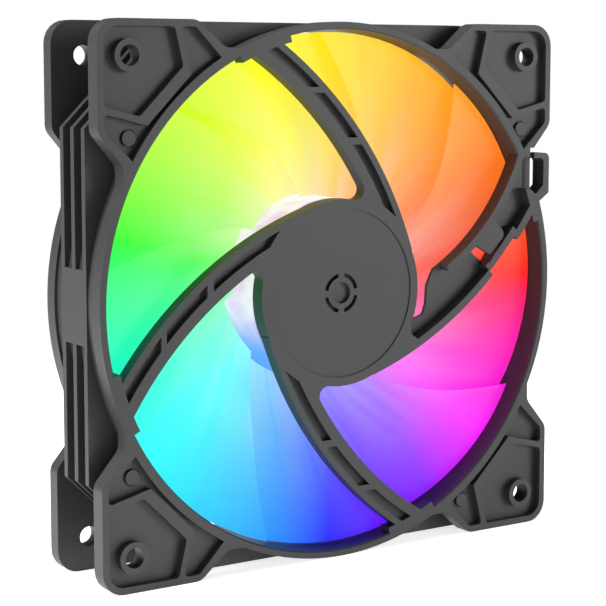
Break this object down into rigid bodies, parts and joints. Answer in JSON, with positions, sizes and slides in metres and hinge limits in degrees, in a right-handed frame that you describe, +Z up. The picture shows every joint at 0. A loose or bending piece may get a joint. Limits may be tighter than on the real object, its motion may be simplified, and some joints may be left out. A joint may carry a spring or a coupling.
{
  "type": "case fan",
  "caption": "Square computer case fan with a dark slatted frame, curved struts, a cable channel and a milky impeller lit in rainbow colours.",
  "frame": {"origin": "on the rotor's axis, halfway between the exhaust face and the intake face", "axes": "+X to the right and +Z up as seen from the exhaust side; +Y along the rotor's axis towards the intake side"},
  "size_m": [0.12, 0.025, 0.12],
  "materials": {
    "frame_plastic": "fine satin moulded",
    "lit_plastic": "milky translucent, lit from the hub",
    "brass": "turned",
    "sintered_bronze": "porous, oiled",
    "nylon": "natural nylon",
    "electrical_steel": "punched laminations",
    "insulator_plastic": "moulded",
    "enamelled_copper": "enamelled wire",
    "tinned_metal": "tinned",
    "green_board": "solder mask",
    "white_board": "white solder mask",
    "black_epoxy": "moulded epoxy",
    "ceramic": "fired ceramic",
    "lamp_resin": "clear resin over phosphor",
    "yoke_steel": "drawn and plated",
    "ferrite": "bonded ferrite",
    "polished_steel": "ground and polished"
  },
  "bodies": {
    "chassis": {"frame": "frame_plastic", "bearing_tube": "brass", "sleeve_bearing": "sintered_bronze", "thrust_pad": "nylon", "oil_ring": "nylon", "stator_core": "electrical_steel", "insulator_lower": "insulator_plastic", "insulator_upper": "insulator_plastic", "coil_1": "enamelled_copper", "coil_2": "enamelled_copper", "coil_3": "enamelled_copper", "coil_4": "enamelled_copper", "winding_pins": "tinned_metal", "driver_board": "green_board", "driver_chip": "black_epoxy", "filter_capacitor": "ceramic", "protection_diode": "black_epoxy", "chip_resistors": "black_epoxy", "light_board": "white_board", "led_1": "lamp_resin", "led_2": "lamp_resin", "led_3": "lamp_resin", "led_4": "lamp_resin", "led_5": "lamp_resin", "led_6": "lamp_resin", "led_7": "lamp_resin", "led_8": "lamp_resin"},
    "rotor": {"impeller": "lit_plastic", "rotor_yoke": "yoke_steel", "magnet_ring": "ferrite", "shaft": "polished_steel", "shaft_bush": "brass", "shaft_clip": "nylon"}
  },
  "joints": [
    {"name": "rotor_spin", "type": "hinge", "parent": "chassis", "child": "rotor", "pos_m": [0, 0, 0], "axis": [0, 1, 0], "continuous": true}
  ]
}
